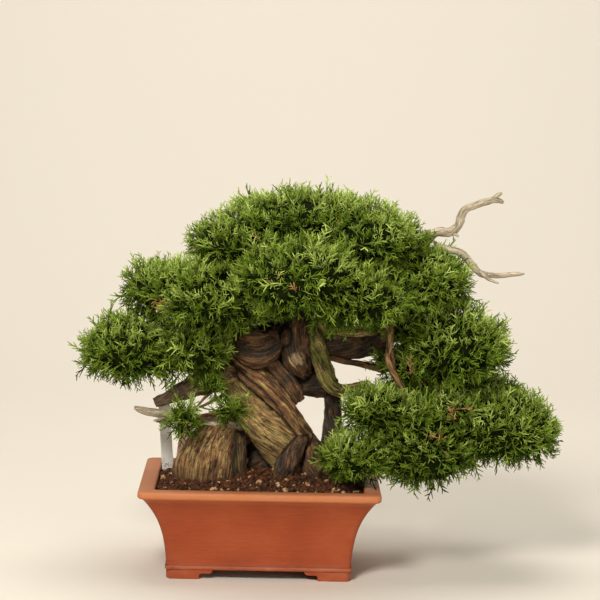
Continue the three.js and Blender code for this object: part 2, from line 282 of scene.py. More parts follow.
# Noise drawn out along the grain, and the thin cracks between its strands.
def fibreGroup():
    group, given, result = newGroup("fibres", [
        ("Grain", "Vector", None), ("Across", "Float", 0.7), ("Along", "Float", 0.035),
        ("Contrast", "Float", 3.0)], [("Strand", "Float"), ("Crack", "Float")])
    stretch = addNode(group, "CombineXYZ", n0=given["Across"], n1=given["Across"], n2=given["Along"])
    place = addNode(group, "VectorMath", {"operation": "MULTIPLY"}, n0=given["Grain"],
                    n1=stretch.outputs[0]).outputs[0]
    field = noiseField(group, place, 1.0, 5.0, 0.62)
    strand = plus(group, times(group, minus(group, field, 0.5), given["Contrast"]), 0.5, True)
    other = addNode(group, "TexNoise", {"noise_dimensions": "4D"}, Vector=place, W=7.0, Scale=0.7,
                    Detail=2.0).outputs["Fac"]
    near = calc(group, "ABSOLUTE", minus(group, other, 0.5))
    crack = minus(group, 1.0, times(group, near, 28.0), True)
    group.links.new(strand, result["Strand"])
    group.links.new(crack, result["Crack"])
    return group


# Dust on what faces up and pale rubbing on sharp edges, both broken up by noise.
def weatherGroup():
    group, given, result = newGroup("weather", [
        ("Colour", "Color", None), ("Dust", "Color", (0.5, 0.45, 0.35, 1)), ("Dustiness", "Float", 0.3),
        ("Rubbed", "Color", (0.6, 0.3, 0.15, 1)), ("Rubbing", "Float", 0.4)],
        [("Colour", "Color"), ("Mask", "Float")])
    patches = noiseField(group, objectPlace(group), 45.0, 7.0, 0.7)
    faces = addNode(group, "NewGeometry").outputs
    lift = addNode(group, "SeparateXYZ", n0=faces["Normal"]).outputs[2]
    facingUp = plus(group, times(group, lift, 0.6), 0.15, True)
    broken = times(group, minus(group, patches, 0.32, True), 2.6, True)
    dust = times(group, times(group, facingUp, broken), given["Dustiness"])
    edges = times(group, minus(group, faces["Pointiness"], 0.515, True), 14.0, True)
    rub = times(group, times(group, edges, broken), given["Rubbing"])
    colour = mixColour(group, rub, given["Colour"], given["Rubbed"])
    colour = mixColour(group, dust, colour, given["Dust"])
    group.links.new(colour, result["Colour"])
    group.links.new(dust, result["Mask"])
    return group


foliageValues = {
    "seed": 11,
    "spacing": 9.6,
    "spraysPerTuft": 7,
    "innerSprays": 1,
    "sprayLength": 12.5,
    "shootRadius": 0.62,
    "spraySorts": ((4, 0.55), (5, 0.7), (4, 0.8), (5, 0.5), (3, 0.62), (4, 0.65)),  # side shoots, spread
    "sunkBy": 12.0,  # how far below a pad's outline its tufts start
    "belly": 0.72,  # a pad's underside is this much flatter than its top
    "tones": 32,
    "brownTone": 29,
    "shadeCoreTone": 31,
    # dead sprays, as x, z and reach
    "brownSpots": ((8, 317, 9), (20, 311, 8), (32, 304, 8), (44, 335, 8), (85, 361, 6), (199, 179, 8),
                   (180, 155, 8), (150, 214, 6), (-107, 288, 6)),
}

# middle and half size
pads = {
    "foliage_top": ((37, 0, 369), (64, 70, 35)),
    "foliage_top_left": ((-26, -10, 344), (54, 68, 38)),
    "foliage_top_right": ((106, -6, 350), (58, 72, 40)),
    "foliage_front": ((37, -82, 314), (68, 46, 43)),
    "foliage_front_left": ((-50, -44, 287), (58, 54, 42)),
    "foliage_centre": ((18, 22, 296), (58, 50, 40)),
    "foliage_front_right": ((104, -60, 292), (52, 50, 34)),
    "foliage_left_upper": ((-106, 4, 294), (44, 54, 34)),
    "foliage_left_lower": ((-142, -6, 228), (52, 54, 44)),
    "foliage_left_inner": ((-74, -12, 232), (44, 46, 32)),
    "foliage_right_upper": ((168, 2, 306), (50, 64, 42)),
    "foliage_right_middle": ((198, -6, 236), (61, 62, 51)),
    "foliage_right_outer": ((252, -8, 150), (64, 62, 46)),
    "foliage_right_lower": ((172, -22, 134), (52, 56, 54)),
    "foliage_right_centre": ((124, -26, 171), (42, 44, 32)),
    "foliage_right_inner": ((98, -42, 124), (36, 38, 30)),
    "foliage_back_left": ((-44, 82, 280), (78, 52, 46)),
    "foliage_back_right": ((118, 84, 288), (84, 52, 48)),
    "foliage_back_low": ((226, 62, 168), (62, 42, 40)),
    "tuft_left": ((-82, -22, 158), (22, 18, 24)),
    "tuft_middle": ((-32, -20, 169), (17, 12, 20)),
    "tuft_small": ((-54, -20, 196), (14, 12, 13)),
}

# Lower clumps that hang under a pad and close it towards the trunk.
clumps = {
    "foliage_centre": [((-2, 2, 270), (30, 24, 13)), ((-26, 10, 262), (16, 18, 12))],
    "foliage_front_right": [((88, -22, 272), (36, 30, 15))],
    "foliage_right_lower": [((150, -26, 178), (34, 34, 18)), ((196, -28, 178), (36, 36, 17))],
    "foliage_right_middle": [((152, -14, 214), (26, 34, 20)), ((146, -16, 262), (24, 36, 24)),
        ((136, 2, 222), (20, 26, 14))],
    "foliage_back_low": [((188, 54, 198), (40, 26, 24))],
}


# One flat spray of shoots along +Z.
def makeSpray(rng, sideShoots, spread):
    length, thick = foliageValues["sprayLength"], foliageValues["shootRadius"]
    bm = bmesh.new()

    def addShoot(start, direction, reach, radius):
        verts = bmesh.ops.create_cone(bm, cap_ends=True, segments=3, radius1=radius,
                                      radius2=radius * 0.42, depth=reach)["verts"]
        bmesh.ops.translate(bm, verts=verts, vec=(0, 0, reach / 2))
        spin = Matrix.Rotation(rng.uniform(0, fullTurn), 3, "Z")
        turn = direction.to_track_quat("Z", "Y").to_matrix() @ spin
        bmesh.ops.rotate(bm, verts=verts, cent=(0, 0, 0), matrix=turn)
        bmesh.ops.translate(bm, verts=verts, vec=start)

    bend = Vector((rng.uniform(-0.12, 0.12), rng.uniform(-0.1, 0.1), 1)).normalized()
    addShoot(Vector(), bend, length, thick)
    for k in range(sideShoots):
        at = 0.22 + 0.62 * k / max(1, sideShoots - 1) + rng.uniform(-0.04, 0.04)
        way = 1 if k % 2 else -1
        tilt = spread * rng.uniform(0.75, 1.2)
        direction = Vector((way * math.sin(tilt), rng.uniform(-0.45, 0.45), math.cos(tilt)))
        reach = length * (0.56 - 0.26 * at) * rng.uniform(0.8, 1.2)
        addShoot(bend * length * at, direction.normalized(), reach, thick * 0.9)
    bmesh.ops.triangulate(bm, faces=bm.faces[:])
    return toArrays(bm)


# Evenly scattered points and outward directions on a pad's surface.
def padPoints(rng, centre, size):
    centre, size = np.array(centre, float), np.array(size, float)
    raw = rng.normal(size=(3200, 3))
    raw /= np.linalg.norm(raw, axis=1)[:, None]
    scale = np.where(raw[:, 2:3] < 0, size * (1, 1, foliageValues["belly"]), size)
    outward = raw / scale
    area = np.linalg.norm(outward, axis=1) * scale.prod(axis=1)
    chosen = rng.random(len(raw)) < area / area.max()
    raw, scale, outward = raw[chosen], scale[chosen], outward[chosen]
    points = raw * scale
    outward /= np.linalg.norm(outward, axis=1)[:, None]
    kept = []
    for i in range(len(points)):
        if all(np.sum((points[i] - points[j]) ** 2) > foliageValues["spacing"] ** 2 for j in kept):
            kept.append(i)
    return points[kept] + centre, outward[kept]


# A dark shell inside a pad, coloured near black as painted shade where no light reaches.
def padShadeCore(centre, size):
    bm = bmesh.new()
    bmesh.ops.create_icosphere(bm, subdivisions=3, radius=1)
    sunk = Vector(size) - Vector((1, 1, 1)) * (foliageValues["sunkBy"] - 2)
    for vert in bm.verts:
        way = vert.co.normalized()
        deep = 1 + 0.12 * noise.noise(way * 2.6 + Vector(centre))
        low = foliageValues["belly"] if way.z < 0 else 1
        vert.co = Vector((way.x * sunk.x, way.y * sunk.y, way.z * sunk.z * low)) * deep + Vector(centre)
    return toArrays(bm)


# How deep each point lies inside any other pad, as a share of that pad's size.
def depthInside(points, skip, grow=0.0):
    deepest = np.full(len(points), -9.0)
    for name, (centre, size) in pads.items():
        if name == skip:
            continue
        local, size = points - np.array(centre), np.array(size)
        scale = np.where(local[:, 2:3] < 0, size * (1, 1, foliageValues["belly"]), size) + grow
        deepest = np.maximum(deepest, 1 - np.linalg.norm(local / scale, axis=1))
    return deepest


# Rotation matrices whose Z is each direction, spun about it.
def turnTo(directions, spins):
    helper = np.where(np.abs(directions[:, 2:3]) < 0.9, (0, 0, 1.0), (1.0, 0, 0))
    x = np.cross(helper, directions)
    x /= np.linalg.norm(x, axis=1)[:, None]
    y = np.cross(directions, x)
    c, s = np.cos(spins)[:, None], np.sin(spins)[:, None]
    return np.stack([x * c + y * s, y * c - x * s, directions], axis=2)


def buildPad(name, sprays, rng):
    v = foliageValues
    parts = [pads[name]] + clumps.get(name, [])
    spots, outward = map(np.vstack, zip(*[padPoints(rng, centre, size) for centre, size in parts]))
    seen = depthInside(spots, name) < 0.2
    spots, outward = spots[seen], outward[seen]
    joined = np.clip(depthInside(spots, name, 16.0) * 6, 0, 1)
    small = min(pads[name][1]) < 24
    starts, ways, lengths, tones = [], [], [], []
    for spot, out, neighbour in zip(spots, outward, joined):
        lump = noise.noise(Vector(spot * 0.045)) * 12 + noise.noise(Vector(spot * 0.09)) * 5
        below = max(0.0, -out[2])
        lead = out + np.array((0, 0, 0.5 * (1 - below)))
        lead /= np.linalg.norm(lead)
        root = spot + out * (min(lump, 7) - (v["sunkBy"] - 7 * neighbour))
        # Tufts facing up get lighter tones as painted light, those facing down darker tones as painted shade.
        clusterTone = 0.46 + 0.24 * out[2] + 0.22 * noise.noise(Vector(spot * 0.06)) + rng.normal() * 0.08
        brown = spot[1] < 0 and any(math.hypot(spot[0] - x, spot[2] - z) < reach
                                    for x, z, reach in v["brownSpots"])
        count = v["spraysPerTuft"] - (2 if small or below > 0.6 else 0)
        for k in range(count + v["innerSprays"]):
            inner = k >= count
            way = lead + rng.normal(size=3) * (0.7 if inner else 0.5)
            way /= np.linalg.norm(way)
            starts.append(root + rng.normal(size=3) * 2.6 - out * (rng.uniform(3, 8) if inner else 0))
            ways.append(way)
            lengths.append(rng.uniform(1.3, 1.8) if rng.random() < 0.08 else rng.uniform(0.66, 1.18))
            # Inner sprays, set deeper in the tuft, are 0.25 darker as painted shade.
            tone = clusterTone + rng.normal() * 0.14 - (0.25 if inner else 0)
            column = int(np.clip(tone, 0, 0.999) * v["brownTone"])
            if rng.random() < (0.6 if brown else 0.003):
                column = v["brownTone"] + 1
            tones.append(column)
    starts, ways, lengths, tones = map(np.array, (starts, ways, lengths, tones))
    turns = turnTo(ways, rng.uniform(0, fullTurn, len(ways)))
    allPoints, allFaces, allUv = [], [], []
    offset = 0
    pick = rng.integers(0, len(sprays), len(ways))
    for kind, (points, triangles) in enumerate(sprays):
        mine = pick == kind
        count = int(mine.sum())
        placed = np.einsum("nij,pj->npi", turns[mine] * lengths[mine, None, None], points)
        placed += starts[mine][:, None, :]
        faces = triangles[None] + (np.arange(count) * len(points))[:, None, None]
        along = np.clip(points[:, 2] / v["sprayLength"], 0, 1)
        around = 0.5 + 0.3 * np.sign(points[:, 0] + 1e-6) * np.minimum(1, np.abs(points[:, 0]))
        u = (tones[mine][:, None] + around[None]) / v["tones"]
        uv = np.stack([u, np.broadcast_to(0.06 + 0.86 * along, u.shape)], axis=2).reshape(-1, 2)
        allPoints.append(placed.reshape(-1, 3))
        allUv.append(uv[faces.ravel()])
        allFaces.append(faces.reshape(-1, 3) + offset)
        offset += count * len(points)
    # The core shells take the last column, coloured near black as painted shade.
    coreCorners = (np.array([(0.2, 0.2), (0.8, 0.2), (0.5, 0.8)]) + (v["shadeCoreTone"], 0)) / (v["tones"], 1)
    for centre, size in [] if small else parts:
        points, triangles = padShadeCore(centre, size)
        allPoints.append(points)
        allFaces.append(triangles + offset)
        allUv.append(np.tile(coreCorners, (len(triangles), 1)))
        offset += len(points)
    mesh = meshFromArrays(np.vstack(allPoints), np.vstack(allFaces))
    layer = mesh.uv_layers.new(name="OFBake")
    layer.uv.foreach_set("vector", np.vstack(allUv).ravel())
    return mesh


# Across the UV map run the tones from dark to light, then brown, then the core, which is painted shade. Up it
# runs base to tip.
def foliageMaterial():
    material, tree = newMaterial("foliage")
    v = foliageValues
    uv = addNode(tree, "UVMap", {"uv_map": "OFBake"}).outputs[0]
    split = addNode(tree, "SeparateXYZ", n0=uv).outputs
    green = v["brownTone"] / v["tones"]
    brown = (v["brownTone"] + 0.5) / v["tones"]
    core = (v["shadeCoreTone"] + 0.05) / v["tones"]
    base, tip = [addRamp(tree, split[0], (0.0, dark), (green * 0.5, middle), (green, light), (brown, dead),
                         (core - 0.006, dead), (core, inside)) for dark, middle, light, dead, inside in (
        ((0.004, 0.008, 0.001), (0.018, 0.034, 0.003), (0.075, 0.115, 0.012), (0.22, 0.11, 0.05),
         (0.004, 0.006, 0.001)),
        ((0.028, 0.050, 0.004), (0.205, 0.314, 0.027), (0.66, 0.82, 0.21), (0.55, 0.34, 0.12),
         (0.006, 0.008, 0.002)))]
    # The dark base of each spray is partly its older growth and partly painted shade deep in the tuft.
    colour = mixColour(tree, mapRange(tree, split[1], 0.05, 0.8, 0, 1, "SMOOTHSTEP"), base, tip)
    scales = addNode(tree, "TexWave", {"bands_direction": "Y"}, Vector=uv, Scale=3.2,
                     Distortion=0.6).outputs["Fac"]
    colour = mixColour(tree, times(tree, scales, 0.22), colour, (0.02, 0.05, 0.006))
    inCore = calc(tree, "GREATER_THAN", split[0], core - 0.01)
    surface(tree, colour, mapRange(tree, inCore, 0, 1, 0.58, 1.0), specular=0.05)
    return material


def buildFoliage():
    rng = random.Random(foliageValues["seed"])
    draws = np.random.default_rng(foliageValues["seed"])
    sprays = [makeSpray(rng, shoots, spread) for shoots, spread in foliageValues["spraySorts"]]
    total = 0
    for name in pads:
        mesh = buildPad(name, sprays, draws)
        total += len(mesh.polygons)
        finishPiece(name, mesh, "foliage", smooth=False)
    print("foliage", total, "triangles")


potValues = {
    "width": 250, "depth": 184, "height": 97, "corner": 7,
    "footHeight": 11, "lip": 8, "overhang": 4, "inset": 29, "rim": 17, "wall": 10,
    "floor": 20, "footLength": 46, "footThickness": 15,
}


def roundedFace(bm, width, depth, corner, height):
    made = bmesh.ops.create_grid(bm, x_segments=1, y_segments=1, size=1)
    for vert in made["verts"]:
        vert.co = (vert.co.x * width / 2, vert.co.y * depth / 2, height)
    bmesh.ops.bevel(bm, geom=made["verts"], offset=corner, segments=6, affect="VERTICES",
                    profile=0.5, material=-1, offset_type="OFFSET")
    return max(bm.faces, key=lambda face: len(face.verts))


# Grows a face through (height, inset) levels. Each level is the first outline drawn in by its inset.
def growLevels(bm, face, spanX, spanY, levels):
    halfX, halfY = spanX / 2, spanY / 2
    order = [(loop.vert.co.x, loop.vert.co.y) for loop in face.loops]
    for index, (z, inset) in enumerate(levels):
        if index:
            face = bmesh.ops.extrude_discrete_faces(bm, faces=[face])["faces"][0]
        for loop, (x, y) in zip(face.loops, order):
            loop.vert.co = (x * (halfX - inset) / halfX, y * (halfY - inset) / halfY, z)
    return face


def buildPot():
    v = potValues
    lipBottom, wallBottom = v["height"] - v["lip"], v["footHeight"] + 5

    def wallInset(z):
        rise = min(1, max(0, (z - wallBottom) / (lipBottom - wallBottom)))
        return v["overhang"] + (v["inset"] - v["overhang"]) * (1 - 0.78 * rise ** 2.8 - 0.22 * rise)

    belt = [(v["footHeight"] - 1, v["inset"] + 0.5), (v["footHeight"] - 0.4, v["inset"] - 1.2),
            (wallBottom - 2.2, v["inset"] - 1.2), (wallBottom - 1.6, v["inset"] - 0.2)]
    heights = [wallBottom + (lipBottom - wallBottom) * i / 19 for i in range(20)]
    lip = [(lipBottom + 0.3, 1.6), (lipBottom + 1.2, 0.5), (lipBottom + 2.6, 0), (v["height"] - 2.2, 0),
           (v["height"] - 0.8, 0.5), (v["height"], 1.8), (v["height"], v["rim"] - 2),
           (v["height"] - 0.7, v["rim"] - 0.5), (v["height"] - 2.2, v["rim"])]
    depths = [lipBottom + (v["floor"] - lipBottom) * i / 9 for i in range(10)]
    bm = bmesh.new()
    face = roundedFace(bm, v["width"], v["depth"], v["corner"], 0)
    growLevels(bm, face, v["width"], v["depth"], belt + [(z, wallInset(z)) for z in heights] + lip
               + [(z, max(v["rim"], wallInset(z) + v["wall"])) for z in depths])
    bmesh.ops.holes_fill(bm, edges=[edge for edge in bm.edges if edge.is_boundary], sides=0)
    bm.from_mesh(footRing())
    finishPiece("pot_body", meshFrom(bm), "terracotta", "pot")
    print("pot")


# A ring under the belt, cut through front to back and side to side so that four feet are left.
def footRing():
    v = potValues
    spanX, spanY = v["width"] - 2 * v["inset"], v["depth"] - 2 * v["inset"]
    deep, soft = v["footThickness"], 0.8
    ring = bmesh.new()
    face = roundedFace(ring, spanX, spanY, v["corner"], 0.4)
    face = growLevels(ring, face, spanX, spanY, [(0, soft), (soft, 0), (v["footHeight"], 0),
                                                 (v["footHeight"], deep), (soft, deep), (0, deep - soft)])
    bmesh.ops.delete(ring, geom=[face], context="FACES_ONLY")
    bmesh.ops.bridge_loops(ring, edges=[edge for edge in ring.edges if edge.is_boundary])
    mesh = meshFrom(ring)
    for span, through, turn in ((spanX, v["depth"], 0), (spanY, v["width"], math.pi / 2)):
        half = span / 2 - v["footLength"] * 0.75
        step, top = v["footHeight"] * 0.55, v["footHeight"] - 1
        side = [(half, -1), (half, step - 2), (half - 1, step - 0.6), (half - 3, step),
                (half - 10, step), (half - 12, step + 0.5), (half - 13.5, step + 2), (half - 14, top)]
        outline = side + [(-x, z) for x, z in reversed(side)]
        cutter = bmesh.new()
        flat = cutter.faces.new([cutter.verts.new((x, -through / 2, z)) for x, z in outline])
        moved = grownVerts(bmesh.ops.extrude_face_region(cutter, geom=[flat]))
        bmesh.ops.translate(cutter, verts=moved, vec=(0, through, 0))
        bmesh.ops.rotate(cutter, verts=cutter.verts[:], cent=(0, 0, 0),
                         matrix=Matrix.Rotation(turn, 3, "Z"))
        tool = addObject("cutter", meshFrom(cutter))
        mesh = bakedModifiers(mesh, ("BOOLEAN", {"operation": "DIFFERENCE", "solver": "EXACT",
                                                 "object": tool}))
        bpy.data.objects.remove(tool)
    return bakedModifiers(mesh, ("BEVEL", {"width": 0.5, "segments": 2, "limit_method": "ANGLE",
                                           "angle_limit": 0.7}))


def terracottaMaterial():
    material, tree = newMaterial("terracotta")
    place = objectPlace(tree)
    cloudy = noiseField(tree, place, 16.0, 6.0)
    stretched = addNode(tree, "Mapping", n0=place, n3=(24.0, 24.0, 520.0)).outputs[0]
    wipes = noiseField(tree, stretched, 1.0, 4.0, 0.7)
    drawn = addNode(tree, "Mapping", n0=place, n3=(70.0, 70.0, 1500.0)).outputs[0]
    lines = noiseField(tree, drawn, 1.0, 3.0)
    grain = noiseField(tree, place, 1100.0)
    height = addNode(tree, "SeparateXYZ", n0=place).outputs[2]
    colour = addRamp(tree, cloudy, (0.32, (0.30, 0.052, 0.016)), (0.5, (0.37, 0.068, 0.020)),
                     (0.66, (0.42, 0.088, 0.028)))
    bloom = times(tree, minus(tree, wipes, 0.42, True), 2.4, True)
    colour = mixColour(tree, times(tree, bloom, 0.45), colour, (0.42, 0.115, 0.046))
    scored = times(tree, minus(tree, 0.52, lines, True), 1.6, True)
    colour = mixColour(tree, scored, colour, (0.20, 0.034, 0.014))
    colour = mixColour(tree, times(tree, grain, 0.22), colour, (0.22, 0.045, 0.018))
    # Painted light: the lip band from 84 mm up is coloured lighter, as where light falls on it.
    paintedLipLight = mapRange(tree, height, 0.084, 0.092, 0.0, 0.85)
    colour = mixColour(tree, paintedLipLight, colour, (0.55, 0.19, 0.072))
    fromSeam = calc(tree, "ABSOLUTE", minus(tree, height, 0.0148))
    seam = minus(tree, 1.0, times(tree, fromSeam, 1100.0), True)
    colour = mixColour(tree, times(tree, seam, 0.75), colour, (0.10, 0.022, 0.012))
    colour = useGroup(tree, weather, Colour=colour, Dustiness=0.16, Rubbing=0.55,
                      Rubbed=(0.62, 0.26, 0.13, 1))["Colour"]
    relief = plus(tree, plus(tree, grain, lines), wipes)
    surface(tree, colour, mapRange(tree, cloudy, 0, 1, 0.42, 0.66), bump(tree, relief, 0.35, 0.0004), 0.22)
    return material


# Limbs as flutes, depth of flutes, twist, tone, and (x, y, z, radius) points.
# The tone runs from grey brown (0) through red brown (0.35) and gold (0.65) to mossy olive (0.9).
# Low tones on the limbs behind and under the crown, such as shadedRoot, shadedFill, shadedCore, shadedEdge,
# the dark mass, rightRoot, arch and bandBack, are painted shade.
limbs = {
    "leftRoot": (9, 0.022, 0.003, 0.4, [(-60, 2, 56, 42), (-57, 3, 80, 37), (-53, 6, 104, 36),
        (-47, 9, 124, 32), (-38, 15, 138, 25), (-14, 24, 150, 17), (6, 30, 156, 12)]),
    "rootKnob": (4, 0.03, 0.01, 0.4, [(-30, -4, 90, 14), (-31, -3, 112, 16), (-30, 1, 129, 15),
        (-26, 8, 142, 11)]),
    "shadedRoot": (7, 0.1, 0.02, 0.05, [(-34, 38, 66, 24), (-10, 36, 98, 22), (20, 36, 104, 21),
        (48, 32, 76, 20)]),
    "shadedFill": (5, 0.1, 0.02, 0.0, [(-12, 42, 92, 13), (-8, 38, 122, 13), (-16, 34, 150, 11)]),
    "shadedCore": (5, 0.1, 0.02, 0.0, [(14, 34, 196, 12), (18, 30, 226, 13), (30, 26, 248, 12)]),
    "shadedEdge": (5, 0.1, 0.02, 0.0, [(46, 34, 200, 10), (52, 28, 220, 9), (56, 24, 240, 9)]),
    "muscle": (5, 0.02, 0.012, 0.56, [(52, 30, 66, 20), (43, 24, 97, 21), (28, 12, 122, 21.5),
        (10, 7, 143, 22), (-8, 6, 162, 20), (-24, 12, 186, 16), (-32, 18, 208, 14)]),
    "muscleBack": (5, 0.1, 0.01, 0.2, [(40, 44, 70, 18), (20, 36, 120, 17), (-6, 28, 160, 16),
        (-22, 26, 200, 14)]),
    "band": (3, 0.14, 0.012, 0.34, [(76, 28, 68, 16), (66, 24, 97, 14), (52, 12, 126, 11),
        (37, 0, 154, 9.5), (20, -5, 179, 10), (2, -6, 199, 10.5), (-16, 2, 213, 10.5),
        (-28, 14, 224, 11)]),
    "bandEdge": (3, 0.1, 0.02, 0.26, [(22, -9, 166, 3), (10, -12, 180, 4), (-4, -12, 192, 4.4),
        (-18, -6, 203, 4), (-28, 4, 212, 3)]),
    "bandBack": (4, 0.12, 0.015, 0.16, [(36, 12, 176, 9), (30, 8, 190, 10.5), (17, 6, 210, 11),
        (0, 12, 226, 12)]),
    "rightRoot": (5, 0.12, 0.02, 0.03, [(82, 22, 64, 20), (75, 24, 92, 15), (74, 28, 116, 11),
        (76, 30, 141, 10), (76, 30, 163, 9), (76, 22, 188, 9)]),
    "rightMound": (4, 0.06, 0.02, 0.42, [(108, 0, 76, 9), (90, -2, 90, 12), (70, 0, 98, 14),
        (54, 10, 106, 13)]),
    "frontRoot": (6, 0.12, 0.03, 0.12, [(46, 0, 141, 5), (37, -7, 130, 9), (28, -11, 114, 11),
        (22, -12, 98, 9), (14, -14, 84, 7)]),
    "midRoot": (5, 0.08, 0.03, 0.16, [(56, 10, 134, 10), (56, 2, 112, 13), (62, 0, 86, 15)]),
    "knuckleBack": (6, 0.08, 0.03, 0.1, [(-38, 24, 222, 15), (-22, 18, 230, 17), (-5, 14, 240, 17),
        (12, 12, 248, 15), (38, 18, 264, 15)]),
    "knuckle": (5, 0.03, 0.006, 0.17, [(-29, 12, 258, 8), (-24, 2, 245, 14), (-16, -6, 238, 18),
        (-6, -9, 236, 20), (4, -6, 239, 17.5), (11, 2, 246, 13), (15, 12, 258, 8)]),
    "knuckleRim": (3, 0.06, 0.01, 0.34, [(-31, 0, 251, 4), (-24, -12, 238, 5), (-12, -19, 229, 5),
        (0, -19, 229, 5), (9, -14, 236, 4.5), (14, -4, 249, 4)]),
    "bulb": (4, 0.05, 0.02, 0.17, [(46, 16, 268, 15), (37, 4, 255, 15), (33, -2, 238, 15.5),
        (37, 3, 222, 13.5), (43, 20, 207, 9), (44, 34, 192, 10)]),
    "bulbKnot": (3, 0.1, 0.05, 0.12, [(26, -8, 252, 6), (25, -12, 247, 7), (27, -12, 241, 5)]),
    "mossy": (5, 0.1, 0.02, 0.84, [(42, 10, 268, 12), (53, 0, 252, 10.5), (59, -4, 233, 9.5),
        (65, 0, 213, 9), (71, 6, 197, 8.5), (83, 10, 189, 7), (100, 10, 193, 5.5), (114, 8, 197, 4.5)]),
    "paintedShadeMass": (5, 0.14, 0.02, 0.02, [(22, 34, 192, 15), (48, 32, 194, 15), (78, 24, 190, 11)]),
    "leader": (5, 0.12, 0.03, 0.2, [(39, 16, 252, 17), (41, 18, 288, 13), (44, 12, 325, 8),
        (37, 8, 368, 4)]),
    "arch": (4, 0.12, 0.03, 0.04, [(42, 14, 262, 16), (64, 10, 246, 16), (88, 12, 240, 16),
        (112, 12, 241, 14), (134, 6, 250, 9), (146, 2, 252, 6)]),
    "archTop": (4, 0.1, 0.03, 0.62, [(48, 4, 264, 9), (68, -2, 258, 7), (92, 0, 254, 6),
        (116, 4, 252, 5)]),
    "leftArm": (5, 0.14, 0.03, 0.25, [(-22, 12, 208, 14), (-46, 10, 212, 11), (-70, 6, 214, 9),
        (-92, 0, 218, 7), (-126, -6, 224, 5)]),
}

thinLimbs = {
    "top": [(41, 18, 285, 9), (80, 22, 300, 7), (125, 22, 312, 6), (166, 19, 326, 4.5)],
    "topLeft": [(40, 16, 292, 8), (5, 20, 320, 6), (-30, 10, 342, 3.5)],
    "archUnder": [(66, 12, 226, 4), (86, 6, 221, 3.2), (104, 2, 219, 3.4), (128, -2, 214, 4)],
    "right": [(130, 8, 248, 7), (165, 0, 257, 5.5), (196, -4, 253, 4), (226, 0, 244, 2.6)],
    "flaky": [(112, 12, 246, 5.5), (114, 4, 268, 5), (119, -10, 286, 4), (131, -34, 276, 3.4),
        (131, -46, 249, 3.2), (129, -48, 232, 3), (138, -46, 214, 3.1), (147, -42, 198, 3),
        (149, -38, 180, 2.8), (141, -30, 160, 2.6), (136, -26, 146, 2)],
    "flakyFork": [(132, -36, 276, 2.8), (129, -42, 258, 2.4), (133, -46, 240, 2.2),
        (136, -45, 222, 2.4)],
    "rightLow": [(108, 9, 197, 5), (123, 4, 186, 5), (142, -14, 156, 4.4), (178, -20, 140, 4),
        (220, -16, 137, 3.2), (257, -8, 146, 2)],
    "rightInner": [(134, -8, 165, 4), (116, -28, 148, 3), (98, -38, 134, 2)],
    "leftHigh": [(-29, 22, 229, 9), (-52, 24, 249, 7.5), (-82, 16, 273, 5.5), (-111, 6, 290, 3)],
    "leftTip": [(-120, -5, 223, 5), (-142, -8, 226, 4), (-166, -8, 230, 2.2)],
    "backLeft": [(41, 20, 280, 8), (28, 60, 290, 6), (-20, 84, 288, 4.5), (-60, 86, 286, 2.6)],
    "backRight": [(50, 18, 268, 8), (80, 55, 280, 6), (125, 82, 294, 3.4)],
    "backLow": [(108, 12, 243, 6), (150, 40, 215, 5), (205, 58, 184, 4), (240, 60, 176, 2.4)],
    "front": [(43, 14, 300, 7), (40, -35, 315, 5), (36, -85, 318, 3)],
    "frontRight": [(44, 12, 320, 6), (75, -20, 320, 4.5), (104, -50, 300, 2.6)],
    "topRight": [(44, 12, 330, 5), (80, 0, 348, 4), (106, -8, 356, 2.6)],
    "frontLeft": [(-28, 8, 226, 6), (-42, -16, 262, 5), (-52, -30, 288, 3)],
    "tuftLow": [(-12, 8, 165, 5), (-36, -2, 166, 4), (-58, -12, 163, 3), (-84, -20, 160, 2)],
    "tuftMiddle": [(-20, 2, 172, 3.4), (-28, -14, 172, 2.2), (-34, -22, 174, 1.4)],
    "tuftSmall": [(-22, 10, 200, 5), (-44, -10, 199, 3), (-54, -19, 197, 1.8)],
    "twigA": [(-40, 0, 184, 2), (-56, -8, 176, 1.6), (-66, -14, 172, 1.2)],
    "twigB": [(-50, -2, 190, 2.2), (-62, -12, 180, 1.5), (-72, -16, 166, 1.1)],
    "soilRootA": [(70, -30, 94.5, 1.3), (50, -44, 93.6, 1.4), (24, -52, 93.3, 1.2), (4, -58, 92.8, 0.8)],
    "soilRootB": [(20, -28, 95.2, 1.6), (2, -36, 94.8, 1.4), (-14, -48, 93.6, 1.0)],
    "soilRootC": [(84, -20, 94.6, 1.2), (64, -34, 94.2, 1.0), (42, -38, 94.8, 0.7)],
    "soilTwig": [(-52, -50, 93.8, 0.8), (-38, -56, 93.6, 0.9), (-22, -57, 93.4, 0.6)],
}

